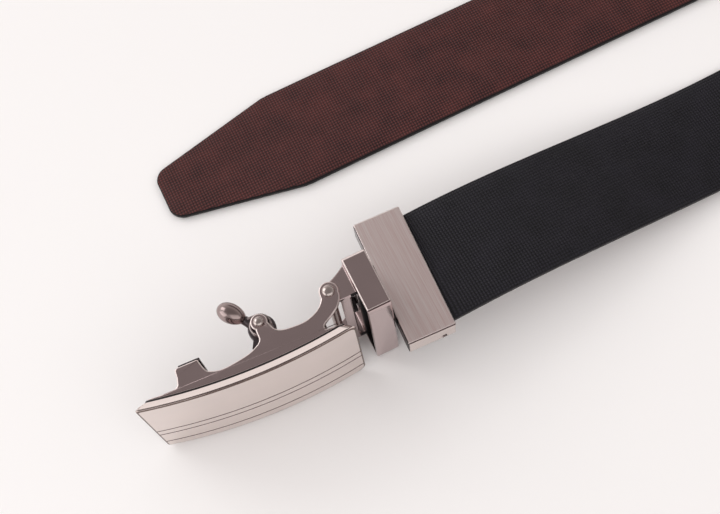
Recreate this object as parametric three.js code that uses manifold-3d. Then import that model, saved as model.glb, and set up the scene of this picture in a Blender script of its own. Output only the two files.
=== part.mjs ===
// A reversible ratchet belt, laid out open: the buckle stands on its long edge beside the flat tail.
// Units are millimetres, +Z is up and +X runs along the belt from the buckle towards the hidden turn.
// While it is built, X = 0 is the hinge pin and Y = 0 and Z = 0 are on the swivel's axis.
import * as THREE from 'three';
import { mergeVertices } from 'three/addons/utils/BufferGeometryUtils.js';
import Module from 'manifold-3d';

const wasm = await Module();
wasm.setup();

// Running and seating clearances
const gap = 0.3;
const boreClearance = 0.3;
const sideClearance = 0.35;

// How far cuts run past a face, and how far joined solids run into each other
const overcut = 1;
const fuse = 0.5;

// Strap
const strapWidth = 35;
const leatherThickness = 1.35;
const bondGap = 0.3;
const edgeRounding = 0.45;
const strapLength = 1180;
const standingTurnRadius = 30.2;
const settleLength = 115;
const twistLength = 190;
const twistMargin = 20;
const laneDrift = 7.5;
const driftLength = 170;
const tailDrift = 3;
const tailDriftLength = 400;
const tailOvertake = 45.7;
const tipFlatWidth = 17;
const tipTaperLength = 42;
const tipCornerRadius = 3.8;
const shoulderRounding = 12;

// Clamp
const clampLength = 14.4;
const clampSideWall = 2.2;
const clampWidth = strapWidth + 2 * clampSideWall;
const clampHeight = 7;
const clampEndWall = 1.4;
const clampTopWall = 1.5;
const clampSkew = 2.2;
const jawThickness = 1.2;
const jawToothHeight = 0.25;
const jawTeeth = 4;
const jawLugLength = 0.7;
const strapStop = 1.6;

// Keeper ring with its web and ears
const ringLength = 6.95;
const ringBackReach = 5.25;
const ringFrontWall = 1.5;
const ringOpening = 6;
const ringChamfer = 1.5;
const ringEndWall = 2;
const ringEndClearance = 0.5;
const ringHeight = strapWidth + 2 * (ringEndWall + ringEndClearance);
const bracketReach = 6.7;
const webThickness = 0.9;
const webFront = 3.4;
const webReach = 4.8;
const webLength = 3;
const earThickness = 1.5;
const earEyeRadius = 2.5;
const earCurveAlong = 0.62;
const earCurveRise = 1.5;
const swivelGap = 1.15;

// Swivel post
const postRadius = 1.1;
const postWasherRadius = 3.2;
const postHeadClearance = 0.2;
const postHeadLength = 1.2;

// Frame, in its own plane: along from the hinge pin, depth from the pins' line towards the face plate
const flangeThickness = 1.2;
const frameInset = 4;
const frameOverrun = 0.6;
const leverPinAlong = 20.2;
const leverPinDepth = 0.5;
const endEarAlong = 41.8;
const channelDepth = 8.2;
const hingeEyeRadius = 2.7;
const leverEyeRadius = 2.35;
const hingePinForward = 1.35;
const frameTurn = 3;

// Pins
const hingePinRadius = 1.3;
const hingeHeadRadius = 1.75;
const leverPinRadius = 1;
const leverHeadRadius = 1.45;
const headHeight = 0.6;

// Guide bar
const guideBarAlong = 41.3;
const guideBarWidth = 6;
const guideBarThickness = 0.75;
const guideBarDepth = 2.7;

// Face plate
const plateInset = 0.2;
const plateHeight = ringHeight - 2 * plateInset;
const plateLeft = 58.5;
const plateRight = 2.9;
const plateLeftDepth = 10.7;
const plateRightDepth = 12;
const plateBow = 2.9;
const plateEdgeThickness = 1.1;
const plateEndDraft = 3;
const plateBevel = 0.9;
const grooveWidth = 0.5;
const grooveDepth = 0.3;

// Release lever
const hubRadius = 2.1;
const hubDiscRadius = 3.9;
const hubDiscThickness = 2;
const pawlThickness = 3.4;
const pawlReach = 6.9;
const pawlTeeth = 3;
const pawlToothHeight = 0.7;
const pawlInset = 3;
const pawlHalfWidth = strapWidth / 2 - pawlInset;
const pawlLean = 27;
const neckRadius = 1.4;
const knobLength = 8.6;
const knobRadius = 2.8;
const knobOffset = 9.2;
const knobBend = 42;
const knobHeight = 14.6;

// Lever spring
const springWire = 0.7;
const springTurns = 3.25;
const springPitch = 0.8;
const springLeg = 2.6;
const springSides = 6;
const springStepsPerTurn = 14;
const springLegSteps = 8;

const roundSides = 24;
const neckSides = 16;
const knobRows = 14;
const strapThickness = 2 * leatherThickness + bondGap;
const frameReach = plateLeft - frameInset;
const springHeight = springWire + springTurns * springPitch;
const flangeInside = strapWidth / 2 + sideClearance;
const flangeOutside = flangeInside + flangeThickness;
const clampStart = bracketReach + ringLength + swivelGap;
const clampEnd = clampStart + clampLength;

// Solids
function solidOf(geometry) {
  const plain = geometry.clone();
  plain.deleteAttribute('normal');
  plain.deleteAttribute('uv');
  const merged = mergeVertices(plain, 1e-5);
  return new wasm.Manifold(new wasm.Mesh({
    numProp: 3,
    vertProperties: new Float32Array(merged.attributes.position.array),
    triVerts: new Uint32Array(merged.index.array),
  }));
}

function geometryOf(solid) {
  const mesh = solid.getMesh();
  const geometry = new THREE.BufferGeometry();
  geometry.setAttribute('position', new THREE.BufferAttribute(mesh.vertProperties, 3));
  geometry.setIndex(new THREE.BufferAttribute(mesh.triVerts, 1));
  geometry.computeVertexNormals();
  return geometry;
}

function block(xLow, xHigh, yLow, yHigh, zLow, zHigh) {
  const geometry = new THREE.BoxGeometry(xHigh - xLow, yHigh - yLow, zHigh - zLow);
  geometry.translate((xLow + xHigh) / 2, (yLow + yHigh) / 2, (zLow + zHigh) / 2);
  return solidOf(geometry);
}

function slab(shape, zLow, zHigh) {
  const options = { depth: zHigh - zLow, bevelEnabled: false, curveSegments: 10 };
  const geometry = new THREE.ExtrudeGeometry(shape, options);
  geometry.translate(0, 0, zLow);
  return solidOf(geometry);
}

function barAlongX(yzShape, xLow, xHigh) {
  const geometry = new THREE.ExtrudeGeometry(yzShape, { depth: xHigh - xLow, bevelEnabled: false });
  geometry.applyMatrix4(new THREE.Matrix4().set(0, 0, 1, xLow, 1, 0, 0, 0, 0, 1, 0, 0, 0, 0, 0, 1));
  return solidOf(geometry);
}

function rodAlongZ(x, y, radius, zLow, zHigh) {
  const geometry = new THREE.CylinderGeometry(radius, radius, zHigh - zLow, roundSides);
  geometry.rotateX(Math.PI / 2);
  geometry.translate(x, y, (zLow + zHigh) / 2);
  return solidOf(geometry);
}

function rodAlongX(y, z, radius, xLow, xHigh) {
  const geometry = new THREE.CylinderGeometry(radius, radius, xHigh - xLow, roundSides);
  geometry.rotateZ(Math.PI / 2);
  geometry.translate((xLow + xHigh) / 2, y, z);
  return solidOf(geometry);
}

function domedPin(radius, headRadius, halfSpan) {
  const profile = [new THREE.Vector2(0, -halfSpan - headHeight)];
  const domeSteps = 5;
  for (let i = 1; i <= domeSteps; i += 1) {
    const turn = (i / domeSteps) * (Math.PI / 2);
    profile.push(new THREE.Vector2(headRadius * Math.sin(turn), -halfSpan - headHeight * Math.cos(turn)));
  }
  profile.push(new THREE.Vector2(radius, -halfSpan));
  const upper = profile.map((point) => new THREE.Vector2(point.x, -point.y)).reverse();
  const geometry = new THREE.LatheGeometry([...profile, ...upper], roundSides);
  geometry.rotateX(Math.PI / 2);
  return solidOf(geometry);
}

// A solid through equal-length rings of points, closed by the flat outline that the rings share
function loft(rings, outline) {
  const count = outline.length;
  const positions = rings.flat().flatMap((point) => [point.x, point.y, point.z]);
  const faces = [];
  for (let ring = 0; ring < rings.length - 1; ring += 1) {
    for (let i = 0; i < count; i += 1) {
      const next = (i + 1) % count;
      const near = ring * count;
      const far = near + count;
      faces.push(near + i, near + next, far + next, near + i, far + next, far + i);
    }
  }
  const last = (rings.length - 1) * count;
  for (const triangle of THREE.ShapeUtils.triangulateShape(outline, [])) {
    const [a, b, c] = THREE.ShapeUtils.isClockWise(outline) ? triangle.reverse() : triangle;
    faces.push(c, b, a, last + a, last + b, last + c);
  }
  const geometry = new THREE.BufferGeometry();
  geometry.setAttribute('position', new THREE.BufferAttribute(new Float32Array(positions), 3));
  geometry.setIndex(faces);
  return facesOut(geometry);
}

function facesOut(geometry) {
  const position = geometry.attributes.position;
  const index = geometry.index.array;
  const corner = [new THREE.Vector3(), new THREE.Vector3(), new THREE.Vector3()];
  let volume = 0;
  for (let i = 0; i < index.length; i += 3) {
    corner.forEach((point, k) => point.fromBufferAttribute(position, index[i + k]));
    volume += corner[0].dot(corner[1].clone().cross(corner[2]));
  }
  if (volume < 0) {
    for (let i = 0; i < index.length; i += 3) {
      [index[i + 1], index[i + 2]] = [index[i + 2], index[i + 1]];
    }
  }
  geometry.computeVertexNormals();
  return geometry;
}

const clamped = (share) => Math.min(Math.max(share, 0), 1);
const smooth = (share) => clamped(share) ** 2 * (3 - 2 * clamped(share));
const easeOut = (share) => 1 - (1 - clamped(share)) ** 2;
const mix = (from, to, share) => from + (to - from) * share;

// Materials
function finish(color, roughness, metalness) {
  return new THREE.MeshStandardMaterial({ color, roughness, metalness });
}

const blackLeather = finish(0x24222b, 0.55, 0);
const brownLeather = finish(0x5a3032, 0.6, 0);
const brushedNickel = finish(0xa8968f, 0.35, 1);
const satinNickel = finish(0xcdc0b8, 0.25, 1);
const darkNickel = finish(0x70645f, 0.25, 1);
const blackSteel = finish(0x2a2526, 0.4, 1);
const brightSteel = finish(0xb9afaa, 0.2, 1);

const belt = new THREE.Group();

function piece(name, geometry, material, group = belt) {
  const mesh = new THREE.Mesh(geometry, material);
  mesh.name = name;
  group.add(mesh);
  return mesh;
}

// Strap: its path runs from the clamp along the lower lane, round the standing turn and back to the tip
const axisHeight = ringHeight / 2;
const laneLow = laneDrift;
const laneHigh = laneLow + 2 * standingTurnRadius;
const strapStart = clampStart + clampEndWall + postHeadLength + strapStop;
const turnLength = Math.PI * standingTurnRadius;
const turnStart = (strapLength - turnLength + strapStart + clampStart - tailOvertake) / 2;
const tipX = 2 * turnStart + turnLength - strapLength - strapStart;
const twistOneStart = turnStart - twistMargin - twistLength;

// Where the strap's middle lies, and how far it has rolled, at a distance along it
function strapAt(distance) {
  const lowerLength = turnStart - strapStart;
  if (distance <= lowerLength) {
    const x = strapStart + distance;
    const roll = (Math.PI / 2) * smooth((x - twistOneStart) / twistLength);
    const settle = 1 - smooth((x - clampEnd) / settleLength);
    const lift = Math.sin(roll) * (strapWidth / 2) + Math.cos(roll) * (strapThickness / 2);
    const z = mix(lift, axisHeight, settle);
    const skewed = -Math.tan(THREE.MathUtils.degToRad(clampSkew)) * (x - clampStart);
    const y = mix(skewed, laneLow, easeOut((x - clampEnd) / driftLength));
    return { centre: new THREE.Vector3(x, y, z), roll };
  }
  if (distance <= lowerLength + turnLength) {
    const angle = (distance - lowerLength) / standingTurnRadius;
    const x = turnStart + standingTurnRadius * Math.sin(angle);
    const y = laneLow + standingTurnRadius * (1 - Math.cos(angle));
    return { centre: new THREE.Vector3(x, y, strapWidth / 2), roll: Math.PI / 2 };
  }
  const x = turnStart - (distance - lowerLength - turnLength);
  const roll = Math.PI - (Math.PI / 2) * smooth((x - twistOneStart) / twistLength);
  const lift = Math.sin(roll) * (strapWidth / 2) - Math.cos(roll) * (strapThickness / 2);
  const drift = tailDrift * (1 - easeOut((x - tipX) / tailDriftLength));
  return { centre: new THREE.Vector3(x, laneHigh - drift, lift), roll };
}

function strapFrame(distance) {
  const step = 0.5;
  const here = strapAt(distance);
  const ahead = strapAt(distance + step).centre;
  const behind = strapAt(distance - step).centre;
  const tangent = ahead.sub(behind).normalize();
  const left = new THREE.Vector3(-tangent.y, tangent.x, 0).normalize();
  const up = new THREE.Vector3().crossVectors(tangent, left);
  const across = left.multiplyScalar(Math.cos(here.roll)).addScaledVector(up, Math.sin(here.roll));
  const normal = new THREE.Vector3().crossVectors(tangent, across).normalize();
  return { centre: here.centre, across, normal };
}

// Half the strap's width at a distance from the tip: a rounded corner, a straight taper, a soft shoulder
function halfWidthAt(fromTip) {
  const slope = (strapWidth - tipFlatWidth) / 2 / tipTaperLength;
  const taper = tipFlatWidth / 2 + slope * fromTip;
  const blend = smooth((fromTip - tipTaperLength + shoulderRounding) / (2 * shoulderRounding));
  const shoulder = Math.min(taper, strapWidth / 2);
  const softened = mix(taper, strapWidth / 2, blend);
  const body = Math.min(shoulder, Math.max(softened, taper - shoulderRounding * slope));
  const corner = Math.max(tipCornerRadius - fromTip, 0);
  return body - tipCornerRadius + Math.sqrt(Math.max(tipCornerRadius ** 2 - corner ** 2, 0));
}

function strapStations() {
  const coarse = 40;
  const fine = 9;
  const lowerLength = turnStart - strapStart;
  const stations = [0];
  const run = (from, to, step) => {
    const steps = Math.max(Math.ceil((to - from) / step), 1);
    for (let i = 1; i <= steps; i += 1) {
      stations.push(mix(from, to, i / steps));
    }
  };
  const settled = clampEnd - strapStart + driftLength;
  const twist = twistOneStart - strapStart;
  run(0, clampEnd - strapStart, clampLength);
  run(clampEnd - strapStart, settled, fine);
  run(settled, twist, coarse);
  run(twist, twist + twistLength, fine);
  run(twist + twistLength, lowerLength, coarse);
  run(lowerLength, lowerLength + turnLength, fine / 2);
  const upper = lowerLength + turnLength;
  run(upper, upper + twistMargin, coarse);
  run(upper + twistMargin, upper + twistMargin + twistLength, fine);
  const shoulder = strapLength - tipTaperLength;
  run(upper + twistMargin + twistLength, shoulder - shoulderRounding, coarse);
  run(shoulder - shoulderRounding, shoulder + shoulderRounding, fine / 2);
  run(shoulder + shoulderRounding, strapLength - tipCornerRadius, coarse);
  for (const share of [0.4, 0.7, 0.9, 0.99]) {
    stations.push(strapLength - tipCornerRadius * (1 - share));
  }
  return stations;
}

// One leather: side is 1 for the black face and -1 for the brown face
function leatherLayer(side) {
  const inner = bondGap / 2;
  const outer = inner + leatherThickness;
  const profile = (half) => [
    [-half, inner],
    [-half, outer - edgeRounding],
    [-half + edgeRounding, outer],
    [half - edgeRounding, outer],
    [half, outer - edgeRounding],
    [half, inner],
  ];
  const rings = strapStations().map((distance) => {
    const { centre, across, normal } = strapFrame(distance);
    return profile(halfWidthAt(strapLength - distance)).map(([width, depth]) => centre.clone()
      .addScaledVector(across, width)
      .addScaledVector(normal, depth * side));
  });
  return loft(rings, profile(strapWidth / 2).map(([width, depth]) => new THREE.Vector2(width, depth)));
}

// Clamp: a box open towards the strap and below, with a toothed jaw that closes it from below
const clampTop = clampHeight / 2;
const pocketHalf = strapWidth / 2 + gap;
const jawTop = -strapThickness / 2 - gap;
const lugX = clampEnd - clampLength / 4;

function clampCase() {
  const half = clampWidth / 2;
  const body = block(clampStart, clampEnd, -half, half, -clampTop, clampTop);
  const hollowStart = clampStart + clampEndWall;
  const pocket = block(hollowStart, clampEnd + overcut, -pocketHalf, pocketHalf,
    -clampTop - overcut, clampTop - clampTopWall);
  const postHole = rodAlongX(0, 0, postRadius + boreClearance, clampStart - overcut, hollowStart + overcut);
  const slotHalf = jawLugLength / 2 + gap;
  const slotLow = jawTop - jawThickness - gap;
  const lugSlot = block(lugX - slotHalf, lugX + slotHalf, -half - overcut, half + overcut, slotLow, jawTop + gap);
  return body.subtract(pocket).subtract(postHole).subtract(lugSlot);
}

function clampJaw() {
  const half = pocketHalf - gap;
  const start = clampStart + clampEndWall + gap;
  const end = clampEnd - gap;
  const low = jawTop - jawThickness;
  const plateTop = jawTop - jawToothHeight;
  let jaw = block(start, end, -half, half, low, plateTop);
  const pitch = (clampEnd - strapStart) / (jawTeeth + 1);
  for (let i = 1; i <= jawTeeth; i += 1) {
    const x = strapStart + i * pitch;
    jaw = jaw.add(block(x - pitch / 5, x + pitch / 5, -half, half, plateTop - gap, jawTop));
  }
  const lugReach = clampWidth / 2 - gap;
  return jaw.add(block(lugX - jawLugLength / 2, lugX + jawLugLength / 2, -lugReach, lugReach, low, plateTop));
}

// Swivel post: a shank with a head inside the clamp, a washer in the gap and a head behind the ring
function swivelPost() {
  const headStart = bracketReach - gap - postHeadLength;
  const tailEnd = clampStart + clampEndWall + gap + postHeadLength;
  const shank = rodAlongX(0, 0, postRadius, headStart, tailEnd);
  const nearHead = rodAlongX(0, 0, postWasherRadius, headStart, bracketReach - gap);
  const washer = rodAlongX(0, 0, postWasherRadius, bracketReach + ringLength + gap, clampStart - gap);
  const tailHeadRadius = clampTop - clampTopWall - postHeadClearance;
  const tailHead = rodAlongX(0, 0, tailHeadRadius, tailEnd - postHeadLength, tailEnd);
  return shank.add(nearHead).add(washer).add(tailHead);
}

// Depths are measured from the pins' line towards the face plate, which is the -Y side
const depthToY = (depth) => -(depth + hingePinForward);
const openingFront = webFront + ringOpening;
const ringFront = openingFront + ringFrontWall;

// Keeper bracket: the ring, with the strap's opening, the web behind it and the two ears on the web
function keeperBracket() {
  const half = ringHeight / 2;
  const front = depthToY(ringFront);
  const outline = new THREE.Shape([
    new THREE.Vector2(ringBackReach, -half + ringChamfer / 2),
    new THREE.Vector2(ringBackReach, half - ringChamfer / 2),
    new THREE.Vector2(ringBackReach - ringChamfer / 2, half),
    new THREE.Vector2(front + ringChamfer, half),
    new THREE.Vector2(front, half - ringChamfer),
    new THREE.Vector2(front, -half + ringChamfer),
    new THREE.Vector2(front + ringChamfer, -half),
    new THREE.Vector2(ringBackReach - ringChamfer / 2, -half),
  ]);
  const ringEnd = bracketReach + ringLength;
  let bracket = barAlongX(outline, bracketReach, ringEnd);
  const earOutside = flangeInside - sideClearance;
  const webBack = depthToY(webFront - webThickness);
  const webStart = bracketReach - webReach;
  bracket = bracket.add(block(webStart, webStart + webLength, depthToY(webFront), webBack,
    -earOutside, earOutside));
  for (const side of [-1, 1]) {
    const inside = side * (earOutside - earThickness);
    const outside = side * earOutside;
    bracket = bracket.add(slab(earShape(), Math.min(inside, outside), Math.max(inside, outside)));
  }
  const slotHalf = half - ringEndWall;
  const slot = block(bracketReach - overcut, ringEnd + overcut, depthToY(openingFront), depthToY(webFront),
    -slotHalf, slotHalf);
  const pinHole = rodAlongZ(0, depthToY(0), hingePinRadius + boreClearance, -half, half);
  const postHole = rodAlongX(0, 0, postRadius + boreClearance, bracketReach - overcut, ringEnd + overcut);
  return bracket.subtract(slot).subtract(pinHole).subtract(postHole);
}

// One hinge ear in the XY plane: an eye round the pin that widens to the ring's back
function earShape() {
  const shape = new THREE.Shape();
  const pinY = depthToY(0);
  const root = bracketReach + fuse;
  shape.moveTo(root, ringBackReach - gap);
  shape.quadraticCurveTo(bracketReach * earCurveAlong, pinY + earEyeRadius * earCurveRise, 0, pinY + earEyeRadius);
  shape.absarc(0, pinY, earEyeRadius, Math.PI / 2, (3 * Math.PI) / 2, false);
  shape.lineTo(bracketReach - webReach, depthToY(webFront));
  shape.lineTo(root, depthToY(webFront));
  return shape;
}

// Face plate: depth of its bowed front face at a place along it
const plateMiddle = (plateRight - plateLeft) / 2;
const plateHalfLength = (plateRight + plateLeft) / 2;

function plateEdgeDepth(along) {
  const share = (along - plateMiddle) / plateHalfLength;
  return mix(plateLeftDepth, plateRightDepth, (share + 1) / 2) + plateBow * (1 - share * share);
}

const plateBackDepth = (along) => plateEdgeDepth(along) - plateBevel - plateEdgeThickness;

// The grooves, as shares of the face's height from its upper edge
const grooves = [{ drop: 0.565 }, { drop: 0.66 }, { drop: 0.855 }];

function facePlate() {
  const half = plateHeight / 2;
  const faceHalf = half - plateBevel;
  const front = [{ z: faceHalf, sink: 0 }];
  for (const { drop } of grooves) {
    const z = mix(faceHalf, -faceHalf, drop);
    front.push({ z: z + grooveWidth / 2, sink: 0 }, { z, sink: grooveDepth }, { z: z - grooveWidth / 2, sink: 0 });
  }
  front.push({ z: -faceHalf, sink: 0 });
  const lengthSteps = 20;
  const ring = (share) => {
    const place = (inset) => plateMiddle + share * (plateHalfLength - inset);
    const edge = plateEdgeDepth(place(0));
    const points = front.map(({ z, sink }) => new THREE.Vector3(place(0), sink - edge, z));
    const back = place(plateEndDraft);
    const side = place(plateEndDraft / 2);
    points.push(new THREE.Vector3(side, plateBevel - edge, -half));
    points.push(new THREE.Vector3(back, -plateBackDepth(back), -half));
    points.push(new THREE.Vector3(back, -plateBackDepth(back), half));
    points.push(new THREE.Vector3(side, plateBevel - edge, half));
    return points;
  };
  const rings = [];
  for (let i = 0; i <= lengthSteps; i += 1) {
    rings.push(ring(mix(-1, 1, i / lengthSteps)));
  }
  return loft(rings, rings[0].map((point) => new THREE.Vector2(point.y, point.z)));
}

// The flange's wavy edge. Each row lies between two of the pins and ears: share runs from the first to
// the second, and depth is a share of the channel's depth.
const stops = { hinge: 0, lever: -leverPinAlong, ear: -endEarAlong, end: -frameReach };
const flangeEdge = [
  { from: 'end', to: 'end', share: 0, depth: 1.05 },
  { from: 'ear', to: 'end', share: 0.42, depth: 1.08 },
  { from: 'ear', to: 'end', share: 0.3, depth: 0.83 },
  { from: 'ear', to: 'end', share: 0.28, depth: 0.52 },
  { from: 'ear', to: 'end', share: 0.22, depth: 0.44, corner: true },
  { from: 'ear', to: 'lever', share: 0.14, depth: 0.44, corner: true },
  { from: 'ear', to: 'lever', share: 0.185, depth: 0.84 },
  { from: 'ear', to: 'lever', share: 0.25, depth: 0.985 },
  { from: 'ear', to: 'lever', share: 0.4, depth: 1.06 },
  { from: 'ear', to: 'lever', share: 0.645, depth: 0.985 },
  { from: 'ear', to: 'lever', share: 0.8, depth: 0.875 },
  { from: 'ear', to: 'lever', share: 0.92, depth: 0.66 },
  { from: 'ear', to: 'lever', share: 0.93, depth: 0.3 },
  { from: 'lever', to: 'hinge', share: 0, depth: 0.1, corner: true },
  { from: 'lever', to: 'hinge', share: 0.1, depth: 0.17 },
  { from: 'lever', to: 'hinge', share: 0.15, depth: 0.44 },
  { from: 'lever', to: 'hinge', share: 0.23, depth: 0.59 },
  { from: 'lever', to: 'hinge', share: 0.37, depth: 0.645 },
  { from: 'lever', to: 'hinge', share: 0.57, depth: 0.64 },
  { from: 'lever', to: 'hinge', share: 0.75, depth: 0.465 },
  { from: 'lever', to: 'hinge', share: 0.855, depth: 0.2 },
  { from: 'lever', to: 'hinge', share: 0.88, depth: -0.05 },
  { from: 'lever', to: 'hinge', share: 1, depth: -0.2, corner: true },
  { from: 'hinge', to: 'lever', share: -0.12, depth: 0.16 },
  { from: 'hinge', to: 'lever', share: -0.05, depth: 0.56 },
  { from: 'hinge', to: 'lever', share: 0.085, depth: 0.82 },
  { from: 'hinge', to: 'lever', share: 0.215, depth: 1.02 },
  { from: 'hinge', to: 'lever', share: 0.225, depth: 1.17, corner: true },
];

function flangeShape() {
  const point = ({ from, to, share, depth }) => (
    new THREE.Vector2(mix(stops[from], stops[to], share), -depth * channelDepth));
  const shape = new THREE.Shape();
  const first = point(flangeEdge[0]);
  shape.moveTo(first.x, first.y);
  let bend = [];
  for (const row of flangeEdge.slice(1)) {
    bend.push(point(row));
    if (row.corner) {
      shape.splineThru(bend);
      bend = [];
    }
  }
  const frontSteps = 12;
  for (let i = 0; i <= frontSteps; i += 1) {
    const along = mix(frameOverrun, -frameReach, i / frontSteps);
    shape.lineTo(along, -(plateBackDepth(along) - gap));
  }
  return shape;
}

// Frame: two flanges on a base that lies behind the face plate
function frameChannel() {
  let frame = slab(flangeShape(), -flangeOutside, flangeOutside);
  frame = frame.add(rodAlongZ(0, 0, hingeEyeRadius, -flangeOutside, flangeOutside));
  frame = frame.add(rodAlongZ(-leverPinAlong, -leverPinDepth, leverEyeRadius, -flangeOutside, flangeOutside));
  const reach = frameReach + plateLeft;
  frame = frame.subtract(block(-reach, reach, -channelDepth, channelDepth, -flangeInside, flangeInside));
  frame = frame.subtract(rodAlongZ(0, 0, hingePinRadius + boreClearance, -plateHeight, plateHeight));
  return frame.subtract(rodAlongZ(-leverPinAlong, -leverPinDepth, leverPinRadius + boreClearance,
    -plateHeight, plateHeight));
}

function guideBar() {
  const half = flangeInside - gap;
  return block(-guideBarAlong - guideBarWidth / 2, -guideBarAlong + guideBarWidth / 2,
    -guideBarDepth - guideBarThickness, -guideBarDepth, -half, half);
}

// Release lever, built round its pin: the hub, its disc, the toothed pawl, the neck and the knob
const springLow = flangeInside - 2 * gap - springHeight;

function releaseLever() {
  const top = flangeInside - gap;
  let lever = rodAlongZ(0, 0, hubDiscRadius, springLow - gap - hubDiscThickness, springLow - gap);
  lever = lever.add(slab(pawlShape(), -pawlHalfWidth, pawlHalfWidth));
  const bend = THREE.MathUtils.degToRad(knobBend);
  const neckRoot = springLow - gap - hubDiscThickness / 2;
  const rise = Math.atan2(knobHeight - neckRoot, knobOffset);
  const neckStart = hubDiscRadius - neckRadius;
  const neckEnd = (knobOffset - knobLength / 4) / Math.cos(rise);
  const neck = new THREE.CylinderGeometry(neckRadius, neckRadius, neckEnd - neckStart, neckSides);
  neck.translate(0, (neckEnd + neckStart) / 2, 0);
  neck.rotateX(rise);
  neck.rotateZ(bend);
  neck.translate(0, 0, neckRoot);
  lever = lever.add(solidOf(neck));
  const knob = new THREE.SphereGeometry(knobRadius, roundSides, knobRows);
  knob.scale(1, knobLength / 2 / knobRadius, 1);
  knob.rotateZ(bend);
  knob.translate(-knobOffset * Math.sin(bend), knobOffset * Math.cos(bend), knobHeight);
  lever = lever.add(solidOf(knob));
  lever = lever.subtract(rodAlongZ(0, 0, hubRadius + springWire + 2 * gap, springLow - gap, top + gap));
  lever = lever.add(rodAlongZ(0, 0, hubRadius, -pawlHalfWidth, top));
  return lever.subtract(rodAlongZ(0, 0, leverPinRadius + boreClearance, -plateHeight, plateHeight));
}

// The pawl in the XY plane: a blade that leans from the hub towards the strap and ends in teeth
function pawlShape() {
  const half = pawlThickness / 2;
  const lean = THREE.MathUtils.degToRad(pawlLean);
  const turn = (across, reach) => new THREE.Vector2(
    across * Math.cos(lean) - reach * Math.sin(lean),
    -across * Math.sin(lean) - reach * Math.cos(lean),
  );
  const points = [turn(half, 0), turn(half, pawlReach - pawlToothHeight)];
  const pitch = pawlThickness / pawlTeeth;
  for (let i = 0; i < pawlTeeth; i += 1) {
    points.push(turn(half - pitch * (i + 0.5), pawlReach));
    points.push(turn(half - pitch * (i + 1), pawlReach - pawlToothHeight));
  }
  points.push(turn(-half, 0));
  return new THREE.Shape(points);
}

// Torsion spring wound on the lever's hub, with a leg at each end
class SpringPath extends THREE.Curve {
  getPoint(share, target = new THREE.Vector3()) {
    const radius = hubRadius + gap + springWire / 2;
    const wound = springTurns * 2 * Math.PI * radius;
    const walked = share * (wound + 2 * springLeg) - springLeg;
    const turned = Math.min(Math.max(walked, 0), wound);
    const angle = turned / radius;
    const past = walked - turned;
    const z = springLow + springWire / 2 + (springHeight - springWire) * (turned / wound);
    return target.set(
      radius * Math.cos(angle) - past * Math.sin(angle),
      radius * Math.sin(angle) + past * Math.cos(angle),
      z,
    );
  }
}

function leverSpring() {
  const section = new THREE.Shape();
  section.absarc(0, 0, springWire / 2, 0, 2 * Math.PI, false);
  const geometry = new THREE.ExtrudeGeometry(section, {
    steps: Math.round(springTurns * springStepsPerTurn) + springLegSteps,
    curveSegments: springSides,
    extrudePath: new SpringPath(),
  });
  return solidOf(geometry);
}

// The strap's own places count from the surface it lies on, and the buckle's from the swivel's axis
piece('strap_black', leatherLayer(1), blackLeather);
piece('strap_brown', leatherLayer(-1), brownLeather);

const head = new THREE.Group();
head.position.z = axisHeight;
belt.add(head);
const clampGroup = new THREE.Group();
clampGroup.rotation.z = THREE.MathUtils.degToRad(-clampSkew);
clampGroup.position.x = clampStart * (1 - Math.cos(clampGroup.rotation.z));
clampGroup.position.y = -clampStart * Math.sin(clampGroup.rotation.z);
head.add(clampGroup);
piece('clamp_case', geometryOf(clampCase()), brushedNickel, clampGroup);
piece('clamp_jaw', geometryOf(clampJaw()), blackSteel, clampGroup);
piece('swivel_post', geometryOf(swivelPost()), blackSteel, head);
piece('keeper_bracket', geometryOf(keeperBracket()), darkNickel, head);

const frameGroup = new THREE.Group();
frameGroup.position.y = depthToY(0);
frameGroup.rotation.z = THREE.MathUtils.degToRad(-frameTurn);
head.add(frameGroup);
piece('frame', geometryOf(frameChannel()), darkNickel, frameGroup);
piece('face_plate', facePlate(), satinNickel, frameGroup);
piece('guide_bar', geometryOf(guideBar()), blackSteel, frameGroup);
piece('hinge_pin', geometryOf(domedPin(hingePinRadius, hingeHeadRadius, flangeOutside + gap)),
  brightSteel, frameGroup);

const leverGroup = new THREE.Group();
leverGroup.position.set(-leverPinAlong, -leverPinDepth, 0);
frameGroup.add(leverGroup);
piece('lever_pin', geometryOf(domedPin(leverPinRadius, leverHeadRadius, flangeOutside + gap)),
  brightSteel, leverGroup);
piece('lever', geometryOf(releaseLever()), blackSteel, leverGroup);
piece('lever_spring', geometryOf(leverSpring()), brightSteel, leverGroup);

// The row's origin is under the middle of the whole belt
belt.updateMatrixWorld(true);
const bounds = new THREE.Box3().setFromObject(belt, true);
belt.position.x = -(bounds.min.x + bounds.max.x) / 2;
belt.position.y = -(bounds.min.y + bounds.max.y) / 2;
belt.position.z = -bounds.min.z;

export default belt;
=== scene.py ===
import math

import bmesh
import bpy
from mathutils import Matrix, Vector


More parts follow.
